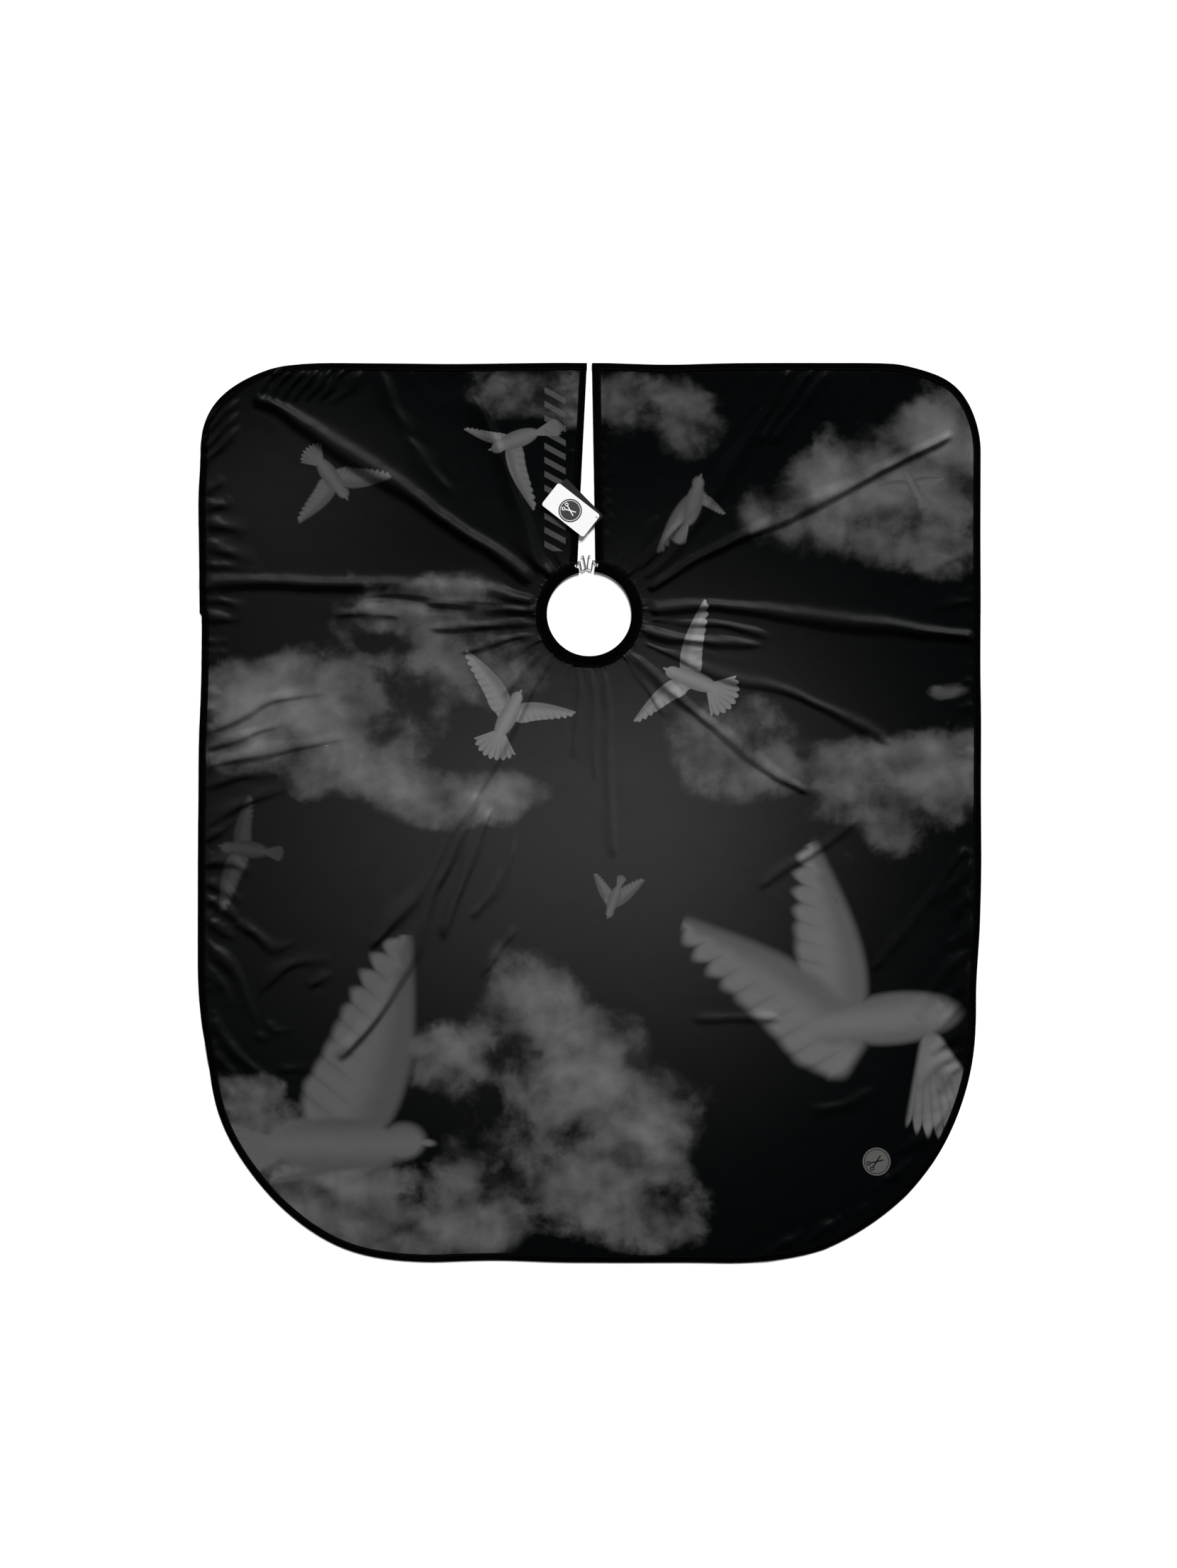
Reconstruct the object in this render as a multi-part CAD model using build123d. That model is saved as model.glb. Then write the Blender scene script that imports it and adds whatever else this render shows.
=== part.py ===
from build123d import *
import os
from math import asin, cos, degrees, radians, sin, tan

# A hairdresser's cape, lying flat with its printed side up. All sizes are in millimetres.
# +Z is up, and +Y runs from the neck to the back edge, where the slit opens. The origin is the
# centre of the neck opening, on the underside. "Left" is -X and "right" is +X.

# Cut of the cape
CAPE_WIDTH = 1398.0
BACK_LENGTH = 448.0  # neck centre to the back edge
FRONT_LENGTH = 1158.0  # neck centre to the hem over the knees
BACK_CORNER_R = 160.0
LEFT_HEM_R = 440.0
RIGHT_HEM_R = 465.0

# Cloth, and the tape folded round its edges
CLOTH_T = 0.6
TAPE_T = 0.6  # one layer
EDGE_TAPE_W = 13.0
SLIT_TAPE_W = {"left": 12.5, "right": 15.0}
FOLD_WALL = 1.0  # the doubled tape at the fold
TUCK_GAP = 0.5  # cloth edge to the inside of the fold
SLIT_TOP_X = {"left": -4.0, "right": 5.0}  # slit edges where they meet the back edge

# Neckband: a tube of tape round the opening, with elastic in it
NECK_R = 75.5
BAND_W = 20.0
BAND_WALL = 0.8
BAND_END_DEG = {"left": 103.1, "right": 83.3}
BAND_ROOF = 0.7  # cloth above the hook's tunnel
SEAM_W = 2.0  # sewn-down rim of the band
CLOTH_TUCK = 4.5  # how far the cape's cloth reaches into the band
END_BLOCK = 9.0  # folded-in cloth at each end of the band
SEAM_GAP = 0.2  # band to the ends of the slit tapes
ELASTIC_GAP = 0.7
ELASTIC_T = 2.2

# Wire hooks that close the band
WIRE_D = 1.8
RUN_CLEARANCE = 0.05
WIRE_LIFT = 0.3  # wire above the cape's cloth
BAR_INSET = 3.5  # hinge bar to the end of the band
BAR_START = 4.0  # inner end of the bar, from the neck opening
BAR_LENGTH = 9.0
SHOULDER = (22.1, 5.2)  # outward from the neck opening, and out of the band's end
HEEL = (2.0, 4.4)
LEG_FOOT_OUT = 4.2
LEG_TOP = (28.5, 13.2)
TIP = (27.1, 9.7)
HOOK_GAP = 0.5  # between the two hooks where they meet
BEND_R = [2.5, 1.5, 1.6, 2.0, 1.3]
NOTCH_W = 2.5  # room on each side of the bar for the arm to swing up

# Hang tags and the nylon pin that holds them on the right slit tape
CARD_L = 95.0
CARD_W = 50.0
CARD_CORNER_R = 5.0
CARD_HOLE_R = 1.5
WHITE_CARD_T = 0.6
BLACK_CARD_T = 0.4
WHITE_HOLE_INSET = 4.4
BLACK_HOLE_INSET = 8.4
WHITE_TURN_DEG = -38.1
BLACK_TURN_DEG = -45.5
CARD_GAP = 0.3
PIN_Y = 174.7
PIN_INSET = 4.0  # pin to the slit edge
PIN_SHANK_R = 0.5
PIN_HEAD_R = 2.0
PIN_HEAD_T = 0.7
PIN_BAR = (1.2, 9.0)
PIN_CLEARANCE = 0.3

# Sewing
THREAD_W = 0.9
THREAD_H = 0.4
STITCH_INSET = 2.5  # thread to the free edge of the tape
STITCH_START = 6.0  # slit stitches to the neckband
BAND_STITCH_TRIM_DEG = 8.0
BARTACK = (6.0, 1.8)
BARTACK_OUT = 3.0  # bartack to the neckband

# Heights and radii that follow from the sizes above
STACK_T = 2 * TAPE_T + CLOTH_T
CLOTH_TOP = TAPE_T + CLOTH_T
BAND_R = NECK_R + BAND_W
CLOTH_R = BAND_R - CLOTH_TUCK
WIRE_Z = CLOTH_TOP + WIRE_LIFT + WIRE_D / 2
BAND_H = WIRE_Z + WIRE_D / 2 + BAND_ROOF
BLACK_Z = BAND_H + THREAD_H + CARD_GAP
WHITE_Z = BLACK_Z + BLACK_CARD_T + CARD_GAP
HEAD_Z = WHITE_Z + WHITE_CARD_T + CARD_GAP
CUT_MARGIN = 1.0  # how far a cutting solid runs past what it cuts
SIDE = {"left": -1, "right": 1}


def layer(face, low, high):
    """The flat face as a solid between two heights."""
    return extrude(Pos(0, 0, low) * face, high - low)


def polar(radius, angle_deg):
    return Vector(radius * cos(radians(angle_deg)), radius * sin(radians(angle_deg)))


def blank(inset):
    """The cape's outline, moved inwards by inset."""
    x = CAPE_WIDTH / 2 - inset
    back, front = BACK_LENGTH - inset, -FRONT_LENGTH + inset
    corners = [(-x, back), (x, back), (x, front), (-x, front)]
    radii = [r - inset for r in (BACK_CORNER_R, BACK_CORNER_R, RIGHT_HEM_R, LEFT_HEM_R)]
    return make_face(FilletPolyline(*corners, radius=radii, close=True))


def slit_x(side, y):
    """X of one edge of the slit, which runs straight from the end of the band to the back edge."""
    low = polar(BAND_R, BAND_END_DEG[side])
    return low.X + (SLIT_TOP_X[side] - low.X) * (y - low.Y) / (BACK_LENGTH - low.Y)


def slit_line(side, margin):
    """The two ends of a line beside the slit, from inside the opening to past the back edge."""
    past = BACK_LENGTH + CUT_MARGIN
    return [(slit_x(side, y) + SIDE[side] * margin, y) for y in (0, past)]


def slit(margin):
    left, right = slit_line("left", margin), slit_line("right", margin)
    return make_face(Polyline(*left, *reversed(right), close=True))


def slit_strip(side, near, far):
    """The strip beside one slit edge, between two distances from it."""
    inner, outer = slit_line(side, near), slit_line(side, far)
    return make_face(Polyline(*inner, *reversed(outer), close=True))


def band_sector(inner, outer, trim_deg):
    """A flat ring round the neck, open where the slit is and shortened at both ends."""
    reach = 2 * outer
    mouth = [polar(reach, BAND_END_DEG["right"] - trim_deg), polar(reach, BAND_END_DEG["left"] + trim_deg)]
    return Circle(outer) - Circle(inner) - make_face(Polyline((0, 0), *mouth, close=True))


def band_end(side):
    """A frame at one end of the band: X outwards along the end, Z up."""
    return Plane(origin=(0, 0, 0), x_dir=polar(1, BAND_END_DEG[side]), z_dir=(0, 0, 1))


def past_end(side, outward, beyond):
    """A point in the frame of band_end: outward from the neck opening, and beyond the band's end."""
    return (NECK_R + outward, SIDE[side] * beyond)


def pin_place():
    return (slit_x("right", PIN_Y) + PIN_INSET, PIN_Y)


def make_panel():
    edge = FOLD_WALL + TUCK_GAP
    face = blank(edge) - slit(edge) - Circle(CLOTH_R)
    face -= Pos(*pin_place()) * Circle(PIN_SHANK_R + PIN_CLEARANCE)
    return layer(face, TAPE_T, CLOTH_TOP)


def make_edge_tape():
    tape = layer(blank(0) - blank(EDGE_TAPE_W) - slit(0), 0, STACK_T)
    fold = blank(FOLD_WALL) - blank(EDGE_TAPE_W + CUT_MARGIN)
    return tape - layer(fold, TAPE_T, CLOTH_TOP)


def make_slit_tape(side):
    width = SLIT_TAPE_W[side]
    face = (slit_strip(side, 0, width) & blank(EDGE_TAPE_W)) - Circle(BAND_R + SEAM_GAP)
    tape = layer(face, 0, STACK_T)
    return tape - layer(slit_strip(side, FOLD_WALL, width + CUT_MARGIN), TAPE_T, CLOTH_TOP)


def make_right_slit_tape():
    """The right tape also has the pin's hole, and a recess underneath for the pin's cross bar."""
    bar_w, bar_l = (size + 2 * PIN_CLEARANCE for size in PIN_BAR)
    recess = layer(Rectangle(bar_w, bar_l), 0, TAPE_T)
    hole = layer(Circle(PIN_SHANK_R + PIN_CLEARANCE), 0, STACK_T)
    return make_slit_tape("right") - Pos(*pin_place()) * (recess + hole)


def make_band():
    """The band's casing: hollow in the middle, with a tunnel and a notch for a hook at each end."""
    block_deg = degrees(asin(END_BLOCK / NECK_R))
    casing = layer(band_sector(NECK_R, BAND_R, 0), 0, BAND_H)
    casing -= layer(band_sector(NECK_R + BAND_WALL, BAND_R - SEAM_W, block_deg), TAPE_T, BAND_H - TAPE_T)
    casing -= layer(band_sector(CLOTH_R - TUCK_GAP, BAND_R + CUT_MARGIN, 0), TAPE_T, CLOTH_TOP)
    for side in SIDE:
        casing -= band_end(side) * (hook_tunnel(side) + hook_notch(side))
    return casing


def hook_tunnel(side):
    start = Vector(*past_end(side, BAR_START - CUT_MARGIN, -BAR_INSET), WIRE_Z)
    mouth = Plane(origin=start, z_dir=(1, 0, 0))
    return extrude(mouth * Circle(WIRE_D / 2 + RUN_CLEARANCE), BAR_LENGTH)


def hook_notch(side):
    """Open at the top, at the band's end and at its rim, so that the hook's arm can swing up."""
    low = BAR_START + BAR_LENGTH - NOTCH_W - WIRE_D / 2
    near = past_end(side, low, CUT_MARGIN)
    far = past_end(side, BAND_W + CUT_MARGIN, -BAR_INSET - NOTCH_W)
    corners = [near, (far[0], near[1]), far, (near[0], far[1])]
    return layer(make_face(Polyline(*corners, close=True)), CLOTH_TOP, BAND_H + CUT_MARGIN)


def make_elastic():
    block_deg = degrees(asin((END_BLOCK + ELASTIC_GAP) / NECK_R))
    ring = band_sector(NECK_R + BAND_WALL + ELASTIC_GAP, CLOTH_R - ELASTIC_GAP, block_deg)
    return layer(ring, TAPE_T, TAPE_T + ELASTIC_T)


def make_hook(side):
    """One bent wire: hinge bar in the band, arm, heel, free leg and a turned-in tip."""
    half_gap_deg = (BAND_END_DEG["left"] - BAND_END_DEG["right"]) / 2
    middle = (NECK_R + LEG_FOOT_OUT) * tan(radians(half_gap_deg))
    foot = (LEG_FOOT_OUT, middle - (WIRE_D + HOOK_GAP) / 2 / cos(radians(half_gap_deg)))
    bar = [(BAR_START, -BAR_INSET), (BAR_START + BAR_LENGTH, -BAR_INSET)]
    route = [Vector(*past_end(side, *p), WIRE_Z) for p in (*bar, SHOULDER, HEEL, foot, LEG_TOP, TIP)]
    path = FilletPolyline(*route, radius=BEND_R)
    section = Plane(origin=path @ 0, z_dir=path % 0) * Circle(WIRE_D / 2)
    return band_end(side) * sweep(section, path=path)


def make_card(thickness, hole_inset, turn_deg, low):
    """A card that hangs from a hole near its upper right corner, turned about the pin."""
    centre = (hole_inset - CARD_L / 2, hole_inset - CARD_W / 2)
    face = Pos(*centre) * RectangleRounded(CARD_L, CARD_W, CARD_CORNER_R) - Circle(CARD_HOLE_R)
    return Pos(*pin_place()) * Rot(0, 0, turn_deg) * layer(face, low, low + thickness)


def make_pin():
    bar = layer(Rectangle(*PIN_BAR), 0, TAPE_T)
    shank = layer(Circle(PIN_SHANK_R), 0, HEAD_Z)
    head = layer(Circle(PIN_HEAD_R), HEAD_Z, HEAD_Z + PIN_HEAD_T)
    return Pos(*pin_place()) * (bar + shank + head)


def make_edge_stitching():
    inset = EDGE_TAPE_W - STITCH_INSET
    line = blank(inset - THREAD_W / 2) - blank(inset + THREAD_W / 2) - slit(STITCH_INSET)
    return layer(line, STACK_T, STACK_T + THREAD_H)


def make_slit_stitching(side):
    inset = SLIT_TAPE_W[side] - STITCH_INSET
    line = slit_strip(side, inset - THREAD_W / 2, inset + THREAD_W / 2) & blank(EDGE_TAPE_W)
    return layer(line - Circle(BAND_R + STITCH_START), STACK_T, STACK_T + THREAD_H)


def make_band_stitching():
    radius = BAND_R - STITCH_INSET
    line = band_sector(radius - THREAD_W / 2, radius + THREAD_W / 2, BAND_STITCH_TRIM_DEG)
    return layer(line, BAND_H, BAND_H + THREAD_H)


def make_bartack(side):
    y = BAND_R + BARTACK_OUT
    x = slit_x(side, y) + SIDE[side] * SLIT_TAPE_W[side] / 2
    return Pos(x, y) * layer(Rectangle(*BARTACK), STACK_T, STACK_T + THREAD_H)


def make_all():
    return {
        "cape_panel": make_panel(),
        "outer_binding": make_edge_tape(),
        "left_slit_binding": make_slit_tape("left"),
        "right_slit_binding": make_right_slit_tape(),
        "neckband_casing": make_band(),
        "neckband_elastic": make_elastic(),
        "left_hook": make_hook("left"),
        "right_hook": make_hook("right"),
        "white_hang_tag": make_card(WHITE_CARD_T, WHITE_HOLE_INSET, WHITE_TURN_DEG, WHITE_Z),
        "black_hang_tag": make_card(BLACK_CARD_T, BLACK_HOLE_INSET, BLACK_TURN_DEG, BLACK_Z),
        "tag_pin": make_pin(),
        "outer_binding_stitching": make_edge_stitching(),
        "left_slit_stitching": make_slit_stitching("left"),
        "right_slit_stitching": make_slit_stitching("right"),
        "neckband_stitching": make_band_stitching(),
        "left_bartack": make_bartack("left"),
        "right_bartack": make_bartack("right"),
    }


def main():
    os.makedirs("parts", exist_ok=True)
    for name, solid in make_all().items():
        export_step(solid, f"parts/{name}.step")
    for side in SIDE:
        frame = band_end(side)
        bar = frame * Pos(*past_end(side, BAR_START + BAR_LENGTH / 2, -BAR_INSET), WIRE_Z)
        print(f"{side} hook: bar at {bar.position}, along {frame.x_dir}")
    print(f"pin at {pin_place()}, cards' heights {BLACK_Z:.2f} and {WHITE_Z:.2f}, band {BAND_H:.2f}")


main()
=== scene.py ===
import math
import random

import bpy
import numpy as np
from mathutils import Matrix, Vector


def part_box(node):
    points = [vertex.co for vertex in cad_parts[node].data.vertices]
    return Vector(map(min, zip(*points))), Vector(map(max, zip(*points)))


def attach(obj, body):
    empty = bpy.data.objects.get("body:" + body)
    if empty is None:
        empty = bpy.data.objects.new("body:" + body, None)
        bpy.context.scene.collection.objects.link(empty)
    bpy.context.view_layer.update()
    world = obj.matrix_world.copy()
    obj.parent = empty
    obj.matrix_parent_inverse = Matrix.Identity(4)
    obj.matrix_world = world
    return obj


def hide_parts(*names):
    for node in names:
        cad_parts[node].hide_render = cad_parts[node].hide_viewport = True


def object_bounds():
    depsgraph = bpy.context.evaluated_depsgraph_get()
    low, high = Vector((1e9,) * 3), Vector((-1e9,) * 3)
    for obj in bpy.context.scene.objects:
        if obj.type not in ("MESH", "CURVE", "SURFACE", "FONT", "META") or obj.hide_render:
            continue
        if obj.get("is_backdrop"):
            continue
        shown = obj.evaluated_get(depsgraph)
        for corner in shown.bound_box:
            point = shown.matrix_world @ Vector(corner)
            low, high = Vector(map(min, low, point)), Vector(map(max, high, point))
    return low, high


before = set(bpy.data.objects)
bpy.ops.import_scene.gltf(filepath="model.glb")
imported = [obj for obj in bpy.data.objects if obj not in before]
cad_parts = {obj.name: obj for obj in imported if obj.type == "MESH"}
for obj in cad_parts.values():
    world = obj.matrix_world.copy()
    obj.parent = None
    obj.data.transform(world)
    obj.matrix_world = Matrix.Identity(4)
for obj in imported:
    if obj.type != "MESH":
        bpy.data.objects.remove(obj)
CAD_BOUNDS = [list(corner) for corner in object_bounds()]

# A hairdressing cape lying flat: one printed cloth with folds pulled from its gathered neckband, black
# tape round its edges, stitching, two wire hooks and two hang tags. Metres, in the CAD model's frame.

MM = 0.001


# ---------------------------------------------------------------- sizes, from the frame where it has them

panel_low, panel_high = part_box("cape_panel")
tape_low, tape_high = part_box("outer_binding")
band_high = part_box("neckband_casing")[1]
black_card_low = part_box("black_hang_tag")[0]
pin_low, pin_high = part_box("tag_pin")

LEFT, RIGHT = tape_low.x, tape_high.x
FRONT, BACK = tape_low.y, tape_high.y
BACK_CORNER_R = 160 * MM
LEFT_HEM_R = 440 * MM
RIGHT_HEM_R = 465 * MM
EDGE_TAPE_W = 13 * MM
SLIT_TAPE_W = {"left": 12.5 * MM, "right": 15 * MM}
SLIT_TOP_X = {"left": -4 * MM, "right": 5 * MM}
SIDE = {"left": -1, "right": 1}
CLOTH_INSET = panel_low.x - tape_low.x
CLOTH_Z = (panel_low.z + panel_high.z) / 2
TAPE_H = tape_high.z

BAND_R = band_high.x
BAND_W = 20 * MM
NECK_R = BAND_R - BAND_W
BAND_H = band_high.z
BAND_END_DEG = {"left": 103.1, "right": 83.3}
CLOTH_R = 92 * MM

PIN = ((pin_low.x + pin_high.x) / 2, (pin_low.y + pin_high.y) / 2)
CARD_REACH = 99 * MM
UNDER_CARDS = black_card_low.z - 0.6 * MM
HIGHEST_FOLD = 15 * MM


# ---------------------------------------------------------------- small helpers

def smoothstep(low, high, x):
    t = np.clip((x - low) / (high - low), 0, 1)
    return t * t * (3 - 2 * t)


def lattice_noise(x, y, cell, seed):
    """Smooth random values from -1 to 1 that change over about one cell."""
    grid = np.random.default_rng(seed).uniform(-1, 1, (64, 64))
    u, v = x / cell, y / cell
    i, j = np.floor(u).astype(int), np.floor(v).astype(int)
    a, b = u - i, v - j
    a, b = a * a * (3 - 2 * a), b * b * (3 - 2 * b)
    corner = lambda di, dj: grid[(i + di) % 64, (j + dj) % 64]
    low = corner(0, 0) * (1 - a) + corner(1, 0) * a
    high = corner(0, 1) * (1 - a) + corner(1, 1) * a
    return low * (1 - b) + high * b


def layered_noise(x, y, cell, seed, layers=4):
    total = sum(lattice_noise(x, y, cell / 2**k, seed + k) / 2**k for k in range(layers))
    return total / 2


def ripple(s, pitch, seed):
    """Irregular waves along a line, from -1 to 1."""
    return lattice_noise(s, np.zeros_like(s) + 0.37 * pitch, pitch, seed)


def resample(points, count):
    """The polyline at count places, evenly spaced."""
    step = np.hypot(*np.diff(points, axis=0).T)
    along = np.concatenate([[0], np.cumsum(step)])
    at = np.linspace(0, along[-1], count)
    return np.stack([np.interp(at, along, points[:, k]) for k in (0, 1)], 1)


def line_length(line):
    return float(np.hypot(*np.diff(line, axis=0).T).sum())


def smooth_line(points, steps=8):
    """A Catmull-Rom curve through the points."""
    p = np.array([points[0], *points, points[-1]], float)
    out = []
    for k in range(1, len(p) - 2):
        a, b, c, d = p[k - 1], p[k], p[k + 1], p[k + 2]
        for t in np.arange(steps) / steps:
            square, cube = (2 * a - 5 * b + 4 * c - d) * t**2, (3 * b - a - 3 * c + d) * t**3
            out.append(0.5 * (2 * b + (c - a) * t + square + cube))
    out.append(p[-2])
    return np.array(out)


def mesh_object(name, verts, faces, body="cape"):
    mesh = bpy.data.meshes.new(name)
    mesh.from_pydata([tuple(v) for v in verts], [], [tuple(f) for f in faces])
    mesh.validate()
    mesh.polygons.foreach_set("use_smooth", [True] * len(mesh.polygons))
    obj = bpy.data.objects.new(name, mesh)
    bpy.context.scene.collection.objects.link(obj)
    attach(obj, body)
    return obj


def grid_faces(rows, columns, wrap_columns=False):
    """Quads of a grid of points stored row by row."""
    i = np.arange(rows - 1)
    j = np.arange(columns if wrap_columns else columns - 1)
    i, j = (a.ravel() for a in np.meshgrid(i, j, indexing="ij"))
    k, m = i + 1, (j + 1) % columns
    return np.stack([i * columns + j, i * columns + m, k * columns + m, k * columns + j], 1).tolist()


# ---------------------------------------------------------------- the cut of the cape

def slit_x(side, y):
    angle = math.radians(BAND_END_DEG[side])
    low_x, low_y = BAND_R * math.cos(angle), BAND_R * math.sin(angle)
    return low_x + (SLIT_TOP_X[side] - low_x) * (y - low_y) / (BACK - low_y)


def corner_arc(centre, radius, start_deg, steps=40):
    a = np.radians(np.linspace(start_deg, start_deg - 90, steps))
    return np.stack([centre[0] + radius * np.cos(a), centre[1] + radius * np.sin(a)], 1)


# Where the worn edge strays from its cut: place, push outward, how far the push reaches, in millimetres.
# In front of the neck a push counts double, up to STRAY_LIMIT.
STRAY_LIMIT = 14 * MM
OUTLINE_POINTS = 1400
EDGE_STRAYS = [
    ((-590, 440), -8, 70), ((-640, 395), -4, 60), ((-697, 290), -5, 60), ((-699, -40), -3.5, 220),
    ((-690, -790), -6, 90), ((-560, -1050), 3, 110), ((-440, -1125), 5, 100), ((-170, -1156), -2, 90),
    ((590, 440), -4, 50), ((650, 400), 5, 60), ((699, -690), -4, 110), ((600, -990), 5, 130),
    ((450, -1105), 8, 130), ((150, 447), -2.5, 90), ((-250, 447), -2, 80),
]


def stray(points):
    """Pushes an edge in and out, as lying cloth does; it stays about a millimetre from the cut's box."""
    step = np.gradient(points, axis=0)
    step /= np.hypot(*step.T)[:, None]
    outward = np.stack([-step[:, 1], step[:, 0]], 1)
    push = 0.7 * MM * ripple(np.arange(len(points)) / len(points) * 5.2, 0.11, 21)
    for (x, y), amount, reach in EDGE_STRAYS:
        away = np.hypot(points[:, 0] - x * MM, points[:, 1] - y * MM)
        push = push + amount * MM * np.exp(-((away / (reach * MM)) ** 2))
    push *= smoothstep(0, 60 * MM, np.abs(points[:, 0])) + (points[:, 1] < 0)
    return points + outward * np.clip(push, None, STRAY_LIMIT)[:, None]


def outline(inset, count):
    """The edge, clockwise from the slit's right corner round to its left corner."""
    left, right, front, back = LEFT + inset, RIGHT - inset, FRONT + inset, BACK - inset
    r_back, r_right, r_left = BACK_CORNER_R - inset, RIGHT_HEM_R - inset, LEFT_HEM_R - inset
    start = (slit_x("right", back) + inset, back)
    end = (slit_x("left", back) - inset, back)
    points = np.concatenate([
        [start],
        corner_arc((right - r_back, back - r_back), r_back, 90),
        corner_arc((right - r_right, front + r_right), r_right, 0),
        corner_arc((left + r_left, front + r_left), r_left, -90),
        corner_arc((left + r_back, back - r_back), r_back, -180),
        [end],
    ])
    return resample(stray(resample(points, OUTLINE_POINTS)), count)


def neck_arc(radius, count, trim_deg=0.0):
    """Round the neck the same way as outline."""
    start, end = BAND_END_DEG["right"] - trim_deg, BAND_END_DEG["left"] - 360 + trim_deg
    a = np.radians(np.linspace(start, end, count))
    return np.stack([radius * np.cos(a), radius * np.sin(a)], 1)


# ---------------------------------------------------------------- folds, in mm from the neck's centre

# Each fold: its line, half-width, height, and lean, which is positive where its left side is the steeper one
LONG_FOLDS = [
    ([(-600, 384), (-560, 372), (-497, 328), (-401, 264), (-321, 214), (-241, 156), (-160, 102),
       (-97, 58)], 13, 11, -0.1),
    ([(-690, 50), (-624, 56), (-401, 51), (-241, 42), (-150, 34), (-98, 24)], 13, 10, -0.1),
    ([(-300, 22), (-210, 16), (-98, 8)], 9, 6, -0.2),
    ([(-420, 30), (-330, 34), (-240, 26), (-150, 20)], 7, 3, -0.4),
    ([(-290, -26), (-190, -20), (-98, -12)], 8, 5, -0.2), ([(-470, 0), (-400, 2), (-330, -6)], 9, 4, -0.4),
    ([(-235, -70), (-170, -50), (-94, -32)], 8, 5, -0.2),
    ([(-213, 392), (-169, 312), (-129, 196), (-100, 120), (-81, 78)], 11, 7, 0.5),
    ([(-330, 320), (-290, 268), (-240, 210)], 12, 3, 0.3),
    ([(102, 40), (198, 101), (342, 166), (510, 250), (650, 322)], 9, 8, -0.3),
    ([(102, 4), (190, 16), (278, 8), (446, -14), (600, -32), (692, -42)], 12, 7.5, -0.1),
    ([(96, 56), (174, 140), (222, 212), (270, 292), (318, 364), (366, 452)], 11, 6, 0.1),
    ([(296, 300), (350, 372), (412, 452)], 8, 3.5, 0.4), ([(320, 300), (372, 366), (440, 448)], 8, 3, 0.4),
    ([(70, 84), (98, 132), (126, 180)], 7, 5, -0.1), ([(84, 70), (128, 122), (168, 172)], 7, 4.5, -0.1),
    ([(98, -8), (160, -12), (238, -20), (330, -44)], 9, 5, -0.2),
    ([(94, -30), (158, -44), (238, -52), (316, -58)], 8, 5, -0.2),
    ([(86, -46), (150, -74), (228, -110), (342, -137), (414, -165), (478, -197),
       (542, -233)], 9, 4.5, -0.2),
    ([(76, -64), (142, -134), (230, -206), (318, -278), (398, -321)], 10, 5, -0.2),
    ([(60, -78), (100, -130), (140, -190)], 8, 2.8, -0.1),
    ([(-80, -58), (-118, -100), (-160, -150)], 9, 5, -0.4),
    ([(-62, -76), (-100, -130), (-130, -190), (-169, -265), (-209, -337), (-249, -401)], 9, 5.5, 0.4),
    ([(-232, -350), (-262, -421), (-300, -497), (-350, -550), (-392, -600)], 11, 10, 0.4),
    ([(-200, -320), (-226, -385), (-252, -446), (-282, -505), (-306, -577), (-325, -625), (-385, -725),
       (-449, -797)], 14, 13, 0.4),
    ([(-172, -340), (-196, -400), (-216, -457), (-241, -520), (-266, -585)], 11, 9, 0.4),
    ([(-129, -393), (-153, -465), (-185, -513), (-213, -541)], 8, 5, -0.4),
    ([(-125, -557), (-161, -601), (-200, -655)], 7, 4, 0.4),
    ([(300, -493), (350, -457), (414, -421), (494, -361)], 7, 5, -0.4),
    ([(500, -640), (590, -529), (676, -410)], 8, 7, 0.3),
    ([(182, -721), (262, -722), (350, -720)], 7, 4.5, -0.2),
    ([(390, -885), (462, -873), (514, -842)], 8, 4, 0.5),
    ([(30, -98), (34, -220), (40, -340), (46, -440)], 8, 4, 0.5),
    ([(8, -98), (10, -200), (12, -300)], 7, 2.6, 0.5),
    ([(-16, -98), (-22, -190), (-30, -260)], 7, 2.6, -0.5),
]
LEFT_CREASES = [
    ([(-694, -221), (-624, -181), (-560, -153), (-457, -137)], 11, 6, -0.5),
    ([(-694, -249), (-616, -217), (-544, -197)], 9, 5, -0.5),
    ([(-694, -276), (-616, -257), (-520, -237), (-425, -217)], 10, 6, -0.5),
    ([(-692, -313), (-624, -293), (-552, -285)], 9, 5, -0.5),
    ([(-692, -388), (-640, -353), (-592, -329), (-536, -309)], 10, 7, -0.5),
    ([(-694, -412), (-650, -384), (-620, -366)], 8, 5, -0.5),
    ([(-694, -449), (-640, -445), (-606, -467)], 9, 6, -0.4),
    ([(-694, -478), (-644, -497), (-622, -516)], 8, 5, -0.4),
    ([(-694, -500), (-640, -537), (-628, -560)], 8, 6, -0.4),
    ([(-694, -537), (-652, -569), (-630, -581)], 8, 5, -0.4),
    ([(-634, -551), (-600, -569), (-564, -597), (-522, -585)], 9, 7, -0.4),
    ([(-694, -569), (-648, -625), (-630, -655)], 9, 6, 0.4),
    ([(-666, -590), (-632, -629), (-614, -681), (-592, -736)], 9, 6.5, 0.4),
    ([(-694, -615), (-656, -660), (-640, -700)], 8, 5, 0.4),
    ([(-592, -681), (-552, -641), (-513, -621), (-457, -617)], 9, 6.5, -0.5),
    ([(-501, -665), (-457, -641)], 8, 5, -0.5), ([(-600, -753), (-576, -757), (-548, -752)], 7, 4, -0.4),
    ([(-580, -725), (-560, -745), (-522, -743)], 7, 4, -0.4),
    ([(-692, -715), (-632, -781), (-584, -821), (-524, -863)], 10, 7, 0.4),
    ([(-692, -757), (-648, -805), (-612, -855)], 9, 5.5, 0.4), ([(-560, -815), (-497, -813)], 7, 4, -0.4),
]
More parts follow.
